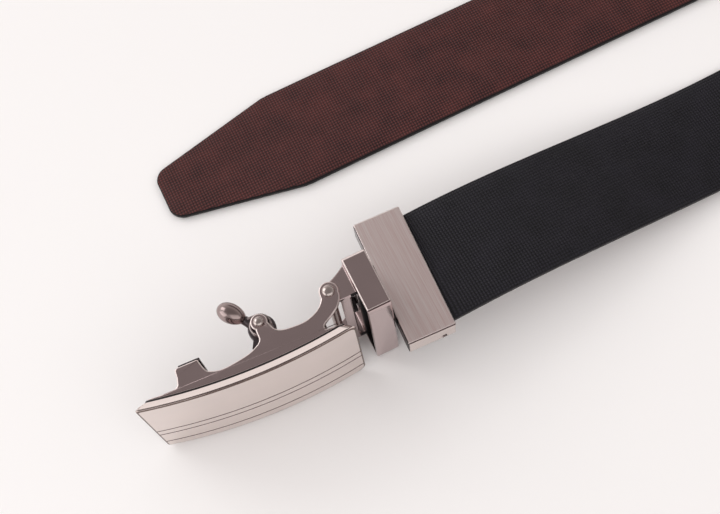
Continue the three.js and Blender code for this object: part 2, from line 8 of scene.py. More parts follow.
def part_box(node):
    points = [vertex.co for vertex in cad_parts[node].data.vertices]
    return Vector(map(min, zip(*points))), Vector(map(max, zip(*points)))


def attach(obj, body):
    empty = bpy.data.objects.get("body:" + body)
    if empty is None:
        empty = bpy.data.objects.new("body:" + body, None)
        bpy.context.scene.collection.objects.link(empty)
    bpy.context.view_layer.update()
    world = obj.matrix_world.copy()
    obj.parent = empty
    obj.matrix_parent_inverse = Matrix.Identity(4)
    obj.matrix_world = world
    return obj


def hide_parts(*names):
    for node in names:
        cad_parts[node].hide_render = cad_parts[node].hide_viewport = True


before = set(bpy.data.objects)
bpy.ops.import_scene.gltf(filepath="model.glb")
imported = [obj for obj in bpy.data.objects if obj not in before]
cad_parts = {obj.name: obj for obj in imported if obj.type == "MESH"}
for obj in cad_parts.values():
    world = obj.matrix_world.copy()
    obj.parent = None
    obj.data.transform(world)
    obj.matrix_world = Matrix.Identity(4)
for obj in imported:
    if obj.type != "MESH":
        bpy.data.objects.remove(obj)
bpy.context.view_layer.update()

MM = 0.001

# The hinge pin's middle, and the swivel's axis behind it
pin_low, pin_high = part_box("hinge_pin")
PIN = (Vector(pin_low) + Vector(pin_high)) / 2 / MM
HINGE_FORWARD = 1.35
AXIS_Y = PIN.y + HINGE_FORWARD
AXIS_Z = PIN.z
FRAME_TURN = math.radians(3)

# Strap
STRAP_WIDTH = 35.0
STRAP_THICKNESS = 3.0
STRAP_LENGTH = 1180.0
STRAP_START = 19.0
CLAMP_START = 14.8
CLAMP_END = 29.2
CLAMP_SKEW = math.radians(2.2)
CLAMP_TOP = 23.5
TAIL_OVERTAKE = 45.7
TURN_RADIUS = 30.2
SETTLE_LENGTH = 115.0
TWIST_LENGTH = 190.0
TWIST_MARGIN = 20.0
LANE_LOW = 7.5
LANE_HIGH = LANE_LOW + 2 * TURN_RADIUS
DRIFT_LENGTH = 170.0
TAIL_DRIFT = 3.0
TAIL_DRIFT_LENGTH = 400.0
TIP_FLAT_WIDTH = 17.0
TIP_TAPER = 42.0
TIP_CORNER = 3.8
SHOULDER = 12.0
TURN_LENGTH = math.pi * TURN_RADIUS
TURN_START = (STRAP_LENGTH - TURN_LENGTH + STRAP_START + CLAMP_START - TAIL_OVERTAKE) / 2
TIP_X = 2 * TURN_START + TURN_LENGTH - STRAP_LENGTH - STRAP_START
TWIST_START = TURN_START - TWIST_MARGIN - TWIST_LENGTH
STRAP_STEP = 2.5
TIP_STEPS = 12
GRAIN_PITCH = 0.915
UV_PER_MM = 0.01

# Keeper ring
RING_HALF = 20.0
RING_FRONT = -12.25
RING_CHAMFER = 1.5
FOLD_DEPTH = 0.6
FOLD_HEIGHT = 1.75
SLOT_FRONT = -10.75
SLOT_BACK = -4.75
SLOT_HALF = 18.0
WEB_END = 4.9

# Flanges and lever pin, in the frame's own plane
FLANGE_OUTSIDE = 19.05
LEVER_ALONG = -20.2
LEVER_DEPTH = 0.5

# A little over the radius of the bores for the swivel's post, the hinge pin and the lever pin
POST_BORE = 2.0
HINGE_BORE = 1.75
LEVER_BORE = 1.6

# Face plate
PLATE_HALF = 19.8
PLATE_LEFT = -58.5
PLATE_RIGHT = 2.9
PLATE_LEFT_DEPTH = 10.7
PLATE_RIGHT_DEPTH = 12.0
PLATE_BOW = 2.9
GROOVES = (0.565, 0.66, 0.855)


def clamped(share):
    return min(max(share, 0.0), 1.0)


def smooth(share):
    t = clamped(share)
    return t * t * (3 - 2 * t)


def ease_out(share):
    return 1 - (1 - clamped(share)) ** 2


def mix(low, high, share):
    return low + (high - low) * share


# Node materials
def new_material(name):
    material = bpy.data.materials.new(name)
    material.use_nodes = True
    tree = material.node_tree
    return material, tree, tree.nodes["Principled BSDF"]


def colour(r, g, b):
    """An sRGB colour in 0 to 255 as linear RGBA."""
    def linear(v):
        v /= 255
        return v / 12.92 if v <= 0.04045 else ((v + 0.055) / 1.055) ** 2.4
    return (linear(r), linear(g), linear(b), 1.0)


class Graph:
    """Short calls that add a node and wire it up."""

    def __init__(self, tree):
        self.tree = tree

    def node(self, kind, **values):
        made = self.tree.nodes.new(kind)
        for key, value in values.items():
            setattr(made, key, value)
        return made

    def feed(self, socket, value):
        if isinstance(value, bpy.types.NodeSocket):
            self.tree.links.new(value, socket)
        else:
            socket.default_value = value

    def math(self, operation, a, b=0.0):
        made = self.node("ShaderNodeMath", operation=operation)
        self.feed(made.inputs[0], a)
        self.feed(made.inputs[1], b)
        return made.outputs[0]

    def ramp(self, value, stops):
        made = self.node("ShaderNodeValToRGB")
        self.feed(made.inputs[0], value)
        points = made.color_ramp.elements
        while len(points) < len(stops):
            points.new(0.5)
        for point, (place, shade) in zip(points, stops):
            point.position = place
            point.color = shade
        return made.outputs[0]

    def noise(self, vector, scale, detail=2.0, rough=0.5):
        made = self.node("ShaderNodeTexNoise")
        self.feed(made.inputs["Vector"], vector)
        self.feed(made.inputs["Scale"], scale)
        self.feed(made.inputs["Detail"], detail)
        self.feed(made.inputs["Roughness"], rough)
        return made.outputs[0]

    def mapping(self, vector, scale, turn=0.0):
        made = self.node("ShaderNodeMapping")
        self.feed(made.inputs["Vector"], vector)
        made.inputs["Scale"].default_value = scale
        made.inputs["Rotation"].default_value = (0.0, 0.0, turn)
        return made.outputs[0]

    def bump(self, height, strength, distance):
        made = self.node("ShaderNodeBump")
        self.feed(made.inputs["Height"], height)
        made.inputs["Strength"].default_value = strength
        made.inputs["Distance"].default_value = distance
        return made.outputs[0]

    def blend(self, share, a, b):
        made = self.node("ShaderNodeMix", data_type="RGBA")
        self.feed(made.inputs[0], share)
        self.feed(made.inputs[6], a)
        self.feed(made.inputs[7], b)
        return made.outputs[2]


def leather(name, groove, bead, roughness, emboss, specular):
    """Leather embossed with a fine square grid, laid out by the strap's own lengths in millimetres."""
    material, tree, shader = new_material(name)
    g = Graph(tree)
    uv = g.node("ShaderNodeUVMap", uv_map="strap").outputs[0]
    lengths = g.mapping(uv, (1 / UV_PER_MM,) * 3)
    wander = g.noise(lengths, 0.35, 2.0)
    split = g.node("ShaderNodeSeparateXYZ")
    g.feed(split.inputs[0], lengths)
    turn = 2 * math.pi / GRAIN_PITCH
    waves = []
    for axis in (0, 1):
        moved = g.math("ADD", split.outputs[axis], g.math("MULTIPLY", wander, 0.25))
        wave = g.math("COSINE", g.math("MULTIPLY", moved, turn))
        waves.append(g.math("MULTIPLY", g.math("ADD", wave, 1.0), 0.5))
    beads = g.math("POWER", g.math("MULTIPLY", waves[0], waves[1]), 0.6)
    grain = g.noise(lengths, 4.5, 3.0)
    uneven = g.noise(lengths, 0.11, 2.0)
    shade = g.math("ADD", g.math("MULTIPLY", beads, 0.62), g.math("MULTIPLY", grain, 0.38))
    shade = g.math("ADD", shade, g.math("MULTIPLY", g.math("SUBTRACT", uneven, 0.5), 0.4))
    # The base colour follows the emboss: darker in the grid's grooves and lighter on its beads. This is
    # partly the leather's own tone, partly painted shade and painted highlight.
    g.feed(shader.inputs["Base Color"], g.ramp(shade, ((0.15, groove), (0.85, bead))))
    height = g.math("ADD", g.math("MULTIPLY", beads, 0.85), g.math("MULTIPLY", grain, 0.22))
    g.feed(shader.inputs["Normal"], g.bump(height, 1.0, emboss * MM))
    spread = g.math("MULTIPLY", grain, 0.16)
    g.feed(shader.inputs["Roughness"], g.math("ADD", spread, roughness - 0.08))
    shader.inputs["Specular IOR Level"].default_value = specular
    return material


def metal(name, base, roughness, wander=0.04):
    """Polished or satin metal whose roughness wanders a little."""
    material, tree, shader = new_material(name)
    g = Graph(tree)
    place = g.node("ShaderNodeTexCoord").outputs["Object"]
    cloud = g.noise(place, 160.0, 3.0)
    spread = g.math("MULTIPLY", g.math("SUBTRACT", cloud, 0.5), wander * 2)
    g.feed(shader.inputs["Roughness"], g.math("ADD", spread, roughness))
    tint = g.math("ADD", g.math("MULTIPLY", cloud, 0.08), 0.92)
    scaled = g.node("ShaderNodeMix", data_type="RGBA", blend_type="MULTIPLY")
    scaled.inputs[0].default_value = 1.0
    scaled.inputs[6].default_value = base
    g.feed(scaled.inputs[7], tint)
    g.feed(shader.inputs["Base Color"], scaled.outputs[2])
    shader.inputs["Metallic"].default_value = 1.0
    return material


def brushed(name, dark, light, roughness, turn, depth):
    """Metal brushed in long fine lines along Y, turned by an angle."""
    material, tree, shader = new_material(name)
    g = Graph(tree)
    place = g.node("ShaderNodeTexCoord").outputs["Object"]
    lines = g.noise(g.mapping(place, (3400.0, 60.0, 60.0), turn), 1.0, 3.0, 0.7)
    bands = g.noise(g.mapping(place, (520.0, 14.0, 20.0), turn), 1.0, 2.0)
    shade = g.math("ADD", g.math("MULTIPLY", lines, 0.85), g.math("MULTIPLY", bands, 0.15))
    g.feed(shader.inputs["Base Color"], g.ramp(shade, ((0.32, dark), (0.68, light))))
    g.feed(shader.inputs["Normal"], g.bump(lines, 0.6, depth * MM))
    shader.inputs["Roughness"].default_value = roughness
    shader.inputs["Metallic"].default_value = 1.0
    return material


def plain(name, base, roughness, specular=0.5):
    """A painted or matt surface with a faint mottle."""
    material, tree, shader = new_material(name)
    g = Graph(tree)
    place = g.node("ShaderNodeTexCoord").outputs["Object"]
    cloud = g.noise(place, 220.0, 3.0)
    dim = (base[0] * 0.9, base[1] * 0.9, base[2] * 0.9, 1.0)
    g.feed(shader.inputs["Base Color"], g.ramp(cloud, ((0.3, dim), (0.7, base))))
    shader.inputs["Roughness"].default_value = roughness
    shader.inputs["Specular IOR Level"].default_value = specular
    return material


BLACK = leather("black_leather", colour(3, 3, 5), colour(35, 32, 42), 0.44, 0.26, 0.34)
BROWN = leather("brown_leather", colour(26, 6, 9), colour(104, 50, 46), 0.48, 0.24, 0.35)
EDGE = plain("black_edge_paint", colour(10, 7, 10), 0.5, 0.25)
NICKEL = metal("polished_nickel", (0.73, 0.635, 0.60, 1.0), 0.16)
DARK = metal("dark_nickel", (0.55, 0.44, 0.435, 1.0), 0.18)
SATIN = metal("satin_nickel", (0.79, 0.70, 0.665, 1.0), 0.3)
# A dark brown metal: a painted dark reflection along the face plate's rim, next to the panel.
PAINTED_DARK_REFLECTION = metal("painted_dark_reflection_edge", (0.17, 0.12, 0.105, 1.0), 0.35)
BRUSHED = brushed("brushed_nickel", (0.84, 0.655, 0.63, 1.0), (1.0, 0.90, 0.875, 1.0), 0.42,
                  turn=CLAMP_SKEW, depth=0.016)
BLACK_STEEL = metal("black_steel", (0.13, 0.11, 0.115, 1.0), 0.24)
STEEL = metal("bright_steel", (0.58, 0.50, 0.475, 1.0), 0.2)
KNOB_METAL = metal("knob_nickel", (0.38, 0.30, 0.29, 1.0), 0.2)
SPRING = metal("spring_steel", (0.42, 0.36, 0.35, 1.0), 0.2)
# Bright edge metal: a painted highlight along the rounded rims of the clamp, keeper ring and flanges.
PAINTED_HIGHLIGHT = metal("painted_edge_highlight", (0.95, 0.83, 0.80, 1.0), 0.3)
# Near-black metal: painted shade in the plate's grooves, and a painted dark reflection on the ring's front
# fold and the clamp's front edges.
PAINTED_SHADE_AND_REFLECTION = metal("painted_shade_and_dark_reflection", (0.085, 0.05, 0.05, 1.0), 0.4)
# Near-black metal: painted shade in the ring's slot, at the plate's rear rim, beside the clamp's side and
# over the swivel rivet.
SHADE = metal("painted_shade_recess", (0.035, 0.03, 0.032, 1.0), 0.45)


# Meshes
def show(name, mesh):
    piece = bpy.data.objects.new(name, mesh)
    bpy.context.scene.collection.objects.link(piece)
    return piece


def make_piece(name, points, faces, materials, slots=None, uvs=None):
    """An object in metres from points in millimetres; slots gives each face its material."""
    mesh = bpy.data.meshes.new(name)
    mesh.from_pydata([Vector(p) * MM for p in points], [], faces)
    for material in materials:
        mesh.materials.append(material)
    if slots:
        mesh.polygons.foreach_set("material_index", slots)
    if uvs:
        layer = mesh.uv_layers.new(name="strap")
        for loop in mesh.loops:
            layer.data[loop.index].uv = uvs[loop.vertex_index]
    mesh.polygons.foreach_set("use_smooth", [True] * len(mesh.polygons))
    mesh.validate()
    return show(name, mesh)


def sharpen(piece, degrees):
    piece.data.set_sharp_from_angle(angle=math.radians(degrees))


def steady(piece):
    """Flat faces keep flat shading beside their rounded edges."""
    modifier = piece.modifiers.new("steady_normals", "WEIGHTED_NORMAL")
    modifier.keep_sharp = True
    modifier.weight = 100
    return piece


def face_out(piece):
    made = bmesh.new()
    made.from_mesh(piece.data)
    bmesh.ops.recalc_face_normals(made, faces=made.faces)
    made.to_mesh(piece.data)
    made.free()
    return piece


def in_bore(point):
    """Whether a point is on the wall or rim of a pin's bore, whose edges stay sharp."""
    lever_axis = in_frame(LEVER_ALONG, LEVER_DEPTH, 0.0)
    near_post = math.hypot(point.y - AXIS_Y, point.z - AXIS_Z) < POST_BORE
    near_hinge = (point - PIN).xy.length < HINGE_BORE
    return near_post or near_hinge or (point - lever_axis).xy.length < LEVER_BORE


WELD = 0.002
FLAT_ANGLE = math.radians(1)
CREASE_ANGLE = math.radians(28)


def rounded_copy(node, name, width, materials, pick=None, segments=3, reshape=None, cuts=(), low=None):
    """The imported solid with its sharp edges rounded.

    pick gives a face's material by its normal and place, reshape moves the points first, cuts are planes
    that split long faces between two materials, and only edges that reach above low are rounded."""
    made = bmesh.new()
    made.from_mesh(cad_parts[node].data)
    bmesh.ops.remove_doubles(made, verts=made.verts, dist=WELD * MM)
    bmesh.ops.dissolve_limit(made, angle_limit=FLAT_ANGLE, verts=made.verts, edges=made.edges)
    if reshape:
        for vertex in made.verts:
            vertex.co = reshape(vertex.co / MM) * MM
        made.normal_update()
    edges = [e for e in made.edges if len(e.link_faces) == 2 and e.calc_face_angle(0.0) > CREASE_ANGLE
             and not all(in_bore(vertex.co / MM) for vertex in e.verts)
             and (low is None or max(vertex.co.z for vertex in e.verts) > low * MM)]
    bmesh.ops.bevel(made, geom=edges, offset=width * MM, segments=segments, profile=0.5,
                    affect="EDGES", clamp_overlap=False)
    for place, across in cuts:
        bmesh.ops.bisect_plane(made, geom=made.verts[:] + made.edges[:] + made.faces[:],
                               plane_co=Vector(place) * MM, plane_no=across)
    mesh = bpy.data.meshes.new(name)
    bmesh.ops.triangulate(made, faces=[f for f in made.faces if len(f.verts) > 4])
    made.to_mesh(mesh)
    made.free()
    for material in materials:
        mesh.materials.append(material)
    for polygon in mesh.polygons:
        polygon.use_smooth = True
        chosen = pick(polygon.normal, polygon.center / MM) if pick else materials[0]
        polygon.material_index = materials.index(chosen)
    piece = show(name, mesh)
    sharpen(piece, 50)
    return steady(piece)


def wear(piece, body, slot, *nodes):
    """Puts a finished piece on its body and hides the nodes that it stands for. The slot is not used."""
    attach(piece, body)
    if nodes:
        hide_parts(*nodes)
    return piece


# Strap
def to_row(x, y, z):
    return Vector((x + PIN.x, y + AXIS_Y, z))


def strap_at(distance):
    """The strap's middle, in the row, and how far it has rolled, at a distance along it."""
    lower = TURN_START - STRAP_START
    half, thick = STRAP_WIDTH / 2, STRAP_THICKNESS / 2
    if distance <= lower:
        x = STRAP_START + distance
        roll = math.pi / 2 * smooth((x - TWIST_START) / TWIST_LENGTH)
        settle = 1 - smooth((x - CLAMP_END) / SETTLE_LENGTH)
        z = mix(math.sin(roll) * half + math.cos(roll) * thick, AXIS_Z, settle)
        skewed = -math.tan(CLAMP_SKEW) * (x - CLAMP_START)
        return to_row(x, mix(skewed, LANE_LOW, ease_out((x - CLAMP_END) / DRIFT_LENGTH)), z), roll
    if distance <= lower + TURN_LENGTH:
        angle = (distance - lower) / TURN_RADIUS
        x = TURN_START + TURN_RADIUS * math.sin(angle)
        return to_row(x, LANE_LOW + TURN_RADIUS * (1 - math.cos(angle)), half), math.pi / 2
    x = TURN_START - (distance - lower - TURN_LENGTH)
    roll = math.pi - math.pi / 2 * smooth((x - TWIST_START) / TWIST_LENGTH)
    z = math.sin(roll) * half - math.cos(roll) * thick
    drift = TAIL_DRIFT * (1 - ease_out((x - TIP_X) / TAIL_DRIFT_LENGTH))
    return to_row(x, LANE_HIGH - drift, z), roll


def strap_frame(distance):
    step = 0.5
    centre, roll = strap_at(distance)
    tangent = (strap_at(distance + step)[0] - strap_at(distance - step)[0]).normalized()
    left = Vector((-tangent.y, tangent.x, 0.0)).normalized()
    up = tangent.cross(left)
    across = left * math.cos(roll) + up * math.sin(roll)
    return centre, across, tangent.cross(across).normalized()


def half_width(from_tip, inset=0.0):
    """Half the strap's width: a rounded corner, a straight taper and a soft shoulder."""
    slope = (STRAP_WIDTH - TIP_FLAT_WIDTH) / 2 / TIP_TAPER
    taper = TIP_FLAT_WIDTH / 2 + slope * from_tip
    blend = smooth((from_tip - TIP_TAPER + SHOULDER) / (2 * SHOULDER))
    shoulder = min(taper, STRAP_WIDTH / 2)
    softened = mix(taper, STRAP_WIDTH / 2, blend)
    body = min(shoulder, max(softened, taper - SHOULDER * slope)) - inset
    radius = TIP_CORNER - inset
    corner = max(radius - (from_tip - inset), 0.0)
    return body - radius + math.sqrt(max(radius ** 2 - corner ** 2, 0.0))


def strap_stations(inset):
    end = STRAP_LENGTH - inset
    count = int((end - TIP_CORNER) / STRAP_STEP)
    stations = [(end - TIP_CORNER) * i / count for i in range(count + 1)]
    turns = [math.pi / 2 * i / TIP_STEPS for i in range(1, TIP_STEPS + 1)]
    return stations + [end - TIP_CORNER * (1 - math.sin(turn)) for turn in turns]


# The strap's dome: how deep its face lies from the middle, by the distance in from its edge
DOME = (
    (0.00, 0.30), (0.03, 0.58), (0.15, 0.80), (0.30, 0.89), (0.50, 0.97), (1.00, 1.09),
    (2.00, 1.26), (3.20, 1.39), (4.80, 1.47), (6.50, 1.50), (10.0, 1.51),
)

# The brown leather: how far it is set in from the edge, how deep the body is sunk to take it, how far it
# stands proud, and how wide its eased rim is
SKIN_RIM = 0.3
SKIN_SINK = 0.15
SKIN_PROUD = 0.03
SKIN_EASE = 0.1
LEAST_WIDTH = 0.02


def dome(edge):
    for (near, low), (far, high) in zip(DOME, DOME[1:]):
        if edge <= far:
            return mix(low, high, clamped((edge - near) / (far - near)))
    return DOME[-1][1]


def loft_strap(name, half_section, inset, materials):
    """A strip along the whole strap from a half section, mirrored.

    A row holds the distance in from the edge, the side (1 black, -1 brown), how far it is sunk under the
    dome, and whether it is leather."""
    right = list(half_section)
    loop = [(1, row) for row in right] + [(-1, row) for row in reversed(right)]
    points, uvs = [], []
    stations = strap_stations(inset)
    for distance in stations:
        centre, across, normal = strap_frame(distance)
        half = half_width(STRAP_LENGTH - distance, inset)
        to_tip = STRAP_LENGTH - distance
        for side, (edge, face, sink, _covered) in loop:
            width = side * max(half - edge, LEAST_WIDTH)
            depth = face * (dome(min(edge + inset, to_tip)) - sink)
            points.append(centre + across * width + normal * depth)
            uvs.append((distance * UV_PER_MM, width * UV_PER_MM))
    count = len(loop)
    faces, slots = [], []
    covered = [row[3] for _side, row in loop]
    for ring in range(len(stations) - 1):
        for i in range(count):
            after = (i + 1) % count
            near, far = ring * count, (ring + 1) * count
            faces.append((near + i, near + after, far + after, far + i))
            slots.append(0 if covered[i] and covered[after] else 1)
    last = (len(stations) - 1) * count
    faces += [tuple(range(count)), tuple(last + i for i in reversed(range(count)))]
    slots += [1, 1]
    return face_out(make_piece(name, points, faces, materials, slots, uvs))


def build_strap():
    edges = [row[0] for row in DOME]
    body = [(e, -1, SKIN_SINK if e > SKIN_RIM else 0.0, False) for e in reversed(edges)]
    body += [(e, 1, 0.0, e > 0) for e in edges]
    inner = [e - SKIN_RIM for e in edges if e > SKIN_RIM]
    skin = [(e, -1, 2 * SKIN_SINK, False) for e in reversed([0.0] + inner)]
    skin += [(0.0, -1, SKIN_PROUD, True), (SKIN_EASE, -1, -SKIN_PROUD, True)]
    skin += [(e, -1, -SKIN_PROUD, True) for e in inner]
    strap = loft_strap("strap_body", body, 0.0, [BLACK, EDGE])
    wear(strap, "root", "black_leather", "strap_black")
    brown = loft_strap("strap_brown_skin", skin, SKIN_RIM, [BROWN, EDGE])
    wear(brown, "root", "brown_leather", "strap_brown")


# Face plate
def in_frame(along, depth, z):
    """A point given along and in front of the pins' line, in the row."""
    flat = Vector((along, -depth, 0.0))
    flat.rotate(Matrix.Rotation(-FRAME_TURN, 3, "Z"))
    return PIN + flat + Vector((0.0, 0.0, z))


def plate_depth(along):
    middle, half = (PLATE_RIGHT + PLATE_LEFT) / 2, (PLATE_RIGHT - PLATE_LEFT) / 2
    share = (along - middle) / half
    return mix(PLATE_LEFT_DEPTH, PLATE_RIGHT_DEPTH, (share + 1) / 2) + PLATE_BOW * (1 - share * share)


# The plate's rim, from its back to its front panel: how far in from the left end, the right end and the
# long edges each line runs, how deep it lies behind the front face, and the material in front of it
RIM = (
    # The three rear rows wear painted shade, where the plate meets the flange, and the three before the
    # panel a painted dark reflection.
    {"left": 3.35, "right": 2.55, "edge": 0.78, "sink": 2.60, "wears": SHADE},
    {"left": 3.20, "right": 2.40, "edge": 0.34, "sink": 2.10, "wears": SHADE},
    {"left": 3.05, "right": 2.25, "edge": 0.08, "sink": 1.90, "wears": SHADE},
    {"left": 2.90, "right": 2.10, "edge": 0.00, "sink": 1.80, "wears": NICKEL},
    {"left": 1.00, "right": 1.00, "edge": 0.38, "sink": 1.15, "wears": NICKEL},
    {"left": 0.30, "right": 0.35, "edge": 0.66, "sink": 0.66, "wears": NICKEL},
    {"left": 0.05, "right": 0.08, "edge": 0.74, "sink": 0.55, "wears": NICKEL},
    {"left": 0.00, "right": 0.00, "edge": 0.82, "sink": 0.48, "wears": NICKEL},
    {"left": 0.06, "right": 0.05, "edge": 1.14, "sink": 0.19, "wears": PAINTED_DARK_REFLECTION},
    {"left": 0.20, "right": 0.17, "edge": 1.34, "sink": 0.05, "wears": PAINTED_DARK_REFLECTION},
    {"left": 0.38, "right": 0.32, "edge": 1.50, "sink": 0.01, "wears": PAINTED_DARK_REFLECTION},
    {"left": 0.55, "right": 0.50, "edge": 1.60, "sink": 0.00, "wears": SATIN},
)
PLATE_MATERIALS = [SATIN, PAINTED_SHADE_AND_REFLECTION, PAINTED_DARK_REFLECTION, SHADE, NICKEL]
PLATE_CORNERS = {"left": 0.8, "right": 2.2}
PLATE_COLUMNS = 120
GROOVE_HALF = 0.3
GROOVE_DEPTH = 0.4

# How far under the panel's top edge its rows of points run, besides those of the grooves
PANEL_ROWS = (0.35, 0.8, 1.4, 2.2, 3.2, 8.0, 14.0)
PANEL_ROWS_BELOW = 5


def rim_place(along, z, row, panel):
    """A panel point pushed out to one of the rim's lines, with the outline's corners rounded."""
    left, right = PLATE_LEFT + row["left"], PLATE_RIGHT - row["right"]
    tall = PLATE_HALF - row["edge"]
    share = (along - panel["left"]) / (panel["right"] - panel["left"])
    a, h = mix(left, right, share), z / panel["top"] * tall
    near_left = share < 0.5
    corner = PLATE_CORNERS["left" if near_left else "right"]
    reach = Vector((
        max(left + corner - a if near_left else a - right + corner, 0.0),
        max(abs(h) - tall + corner, 0.0),
    ))
    if reach.x > 0 and reach.y > 0 and reach.length > corner:
        pull = reach * (corner / reach.length)
        a += (reach.x - pull.x) * (1 if near_left else -1)
        h -= (reach.y - pull.y) * (1 if h > 0 else -1)
    return in_frame(a, plate_depth(a) - row["sink"], h)


def panel_rows(top):
    """The heights of the panel's rows from its top edge down, and those at a groove's bottom."""
    rows, groove_rows = [top], set()
    for drop in GROOVES:
        z = PLATE_HALF - drop * 2 * PLATE_HALF
        rows += [z + GROOVE_HALF, z, z - GROOVE_HALF]
        groove_rows.add(round(z, 4))
    filler = [top - drop for drop in PANEL_ROWS]
    filler += [-z for z in filler[:PANEL_ROWS_BELOW]] + [-top]
    return sorted(set(round(z, 4) for z in rows + filler), reverse=True), groove_rows


def face_plate():
    inner = RIM[-1]
    top = PLATE_HALF - inner["edge"]
    panel = {"left": PLATE_LEFT + inner["left"], "right": PLATE_RIGHT - inner["right"], "top": top}
    rows, groove_rows = panel_rows(top)
    satin, groove_shade = PLATE_MATERIALS.index(SATIN), PLATE_MATERIALS.index(PAINTED_SHADE_AND_REFLECTION)
    turns = [math.pi * i / PLATE_COLUMNS for i in range(PLATE_COLUMNS + 1)]
    columns = [mix(panel["left"], panel["right"], 0.5 - 0.5 * math.cos(turn)) for turn in turns]
    across, down = len(columns), len(rows)
    points, faces, slots = [], [], []
    for z in rows:
        for along in columns:
            sink = GROOVE_DEPTH if z in groove_rows else 0.0
            points.append(rim_place(along, z, {**inner, "sink": inner["sink"] + sink}, panel))
    for r in range(down - 1):
        for c in range(across - 1):
            a = r * across + c
            faces.append((a, a + 1, a + across + 1, a + across))
            # Faces in a groove wear painted shade.
            slots.append(groove_shade if groove_rows.intersection(rows[r:r + 2]) else satin)
    border = [(0, c) for c in range(across)] + [(r, across - 1) for r in range(1, down)]
    border += [(down - 1, c) for c in range(across - 2, -1, -1)]
    border += [(r, 0) for r in range(down - 2, 0, -1)]
    previous = [r * across + c for r, c in border]
    for row in reversed(RIM[:-1]):
        start = len(points)
        points += [rim_place(columns[c], rows[r], row, panel) for r, c in border]
        here = [start + i for i in range(len(border))]
        for i in range(len(border)):
            after = (i + 1) % len(border)
            faces.append((previous[i], previous[after], here[after], here[i]))
            slots.append(PLATE_MATERIALS.index(row["wears"]))
        previous = here
    lookup = {cell: previous[i] for i, cell in enumerate(border)}
    for c in range(across - 1):
        corners = ((0, c), (0, c + 1), (down - 1, c + 1), (down - 1, c))
        faces.append(tuple(lookup[corner] for corner in corners))
        slots.append(satin)
    for side in (0, across - 1):
        faces.append(tuple(lookup[(r, side)] for r in range(down)))
        slots.append(satin)
    piece = face_out(make_piece("face_plate_panel", points, faces, PLATE_MATERIALS, slots))
    sharpen(piece, 40)
    return wear(steady(piece), "frame_body", "satin_nickel", "face_plate")


# A fine raised line runs along each flange, beside the plate
BEAD_ENDS = ((-50.0, 9.1), (-1.5, 9.4))
BEAD_SECTION = ((-0.12, -0.1), (0.12, -0.1), (0.0, 0.1))


def flange_bead(side):
    """One fine straight ridge on a flange's outside: a low triangular bar."""
    points = []
    for along, depth in BEAD_ENDS:
        for offset, height in BEAD_SECTION:
            points.append(in_frame(along, depth + offset, side * (FLANGE_OUTSIDE + height)))
    faces = [(0, 1, 2), (5, 4, 3), (0, 3, 4, 1), (1, 4, 5, 2), (2, 5, 3, 0)]
    name = "flange_bead_upper" if side > 0 else "flange_bead_lower"
    return wear(face_out(make_piece(name, points, faces, [DARK])), "frame_body", "dark_nickel")


# Turned pieces
TURNED_SIDES = 48


def turned(name, profile, matrix, materials):
    """A closed solid turned from (radius, height) rows, placed by a matrix in millimetres."""
    points, faces, sides = [], [], TURNED_SIDES
    for radius, height in profile:
        for i in range(sides):
            angle = 2 * math.pi * i / sides
            points.append(matrix @ Vector((radius * math.cos(angle), radius * math.sin(angle), height)))
    for ring in range(len(profile) - 1):
        near, far = ring * sides, (ring + 1) * sides
        faces += [(near + i, near + (i + 1) % sides, far + (i + 1) % sides, far + i) for i in range(sides)]
    faces.append(tuple(reversed(range(sides))))
    faces.append(tuple((len(profile) - 1) * sides + i for i in range(sides)))
    return face_out(make_piece(name, points, faces, materials))


def joined(name, pieces):
    """One object from several."""
    target = pieces[0]
    with bpy.context.temp_override(active_object=target, selected_editable_objects=pieces,
                                   selected_objects=pieces, object=target):
        bpy.ops.object.join()
    target.name = name
    target.data.name = name
    return target


def dome_rows(radius, height, low, steps=10):
    """A domed head's rows from its widest line at low up to the crown."""
    rows = []
    for i in range(1, steps + 1):
        turn = math.pi / 2 * i / steps
        rows.append((max(radius * math.cos(turn), 0.01), low + height * math.sin(turn)))
    return rows


# A pin's head: its gap over the flange, its top, and its rim's bevel and height
HEAD_GAP = 0.03
HEAD_TOP = 20.0
HEAD_BEVEL = 0.1
HEAD_RIM = 0.12


def pin(name, along, depth, radius, head_radius, node):
    low = FLANGE_OUTSIDE + HEAD_GAP
    upper = [(radius, low), (head_radius - HEAD_BEVEL, low), (head_radius, low + HEAD_RIM)]
    upper += dome_rows(head_radius, HEAD_TOP - low - HEAD_RIM, low + HEAD_RIM)
    lower = [(r, -h) for r, h in reversed(upper)]
    at = Matrix.Translation(in_frame(along, depth, 0.0))
    piece = turned(name, lower + upper, at, [STEEL])
    sharpen(piece, 60)
    return wear(piece, "frame_body", "bright_steel", node)


# Release lever, round its pin: heights count from the belt's middle plane
LEVER_DISC = {"radius": 3.9, "low": 11.65, "top": 13.65, "ease": 0.3}
LEVER_HUB = {"radius": 2.1, "low": -14.5, "top": 17.5, "ease": 0.2}
KNOB = {"offset": 9.2, "height": 14.6, "length": 8.6, "radius": 2.8, "egg": 0.08, "bend": math.radians(42)}
KNOB_STEPS = 28
NECK_ROWS = [(1.7, 1.6), (1.62, 3.2), (1.4, 4.4), (1.28, 5.4), (1.36, 6.2), (1.1, 6.6)]
PAWL = {"half": 1.7, "lean": math.radians(27), "reach": 6.9, "tooth": 0.7, "wide": 14.5}
PAWL_TEETH = 3
SPRING_COIL = {"radius": 2.75, "wire": 0.7, "turns": 3.25, "low": 13.95, "tall": 3.3, "leg": 2.6}


def lever_place():
    axis = in_frame(LEVER_ALONG, LEVER_DEPTH, 0.0)
    return Matrix.Translation(axis) @ Matrix.Rotation(-FRAME_TURN, 4, "Z")


def rimmed(size):
    """A disc's rows, with eased rims."""
    radius, low, top, ease = (size[key] for key in ("radius", "low", "top", "ease"))
    lower = [(0.05, low), (radius - ease, low), (radius, low + ease)]
    return lower + [(radius, top - ease), (radius - ease, top), (0.05, top)]


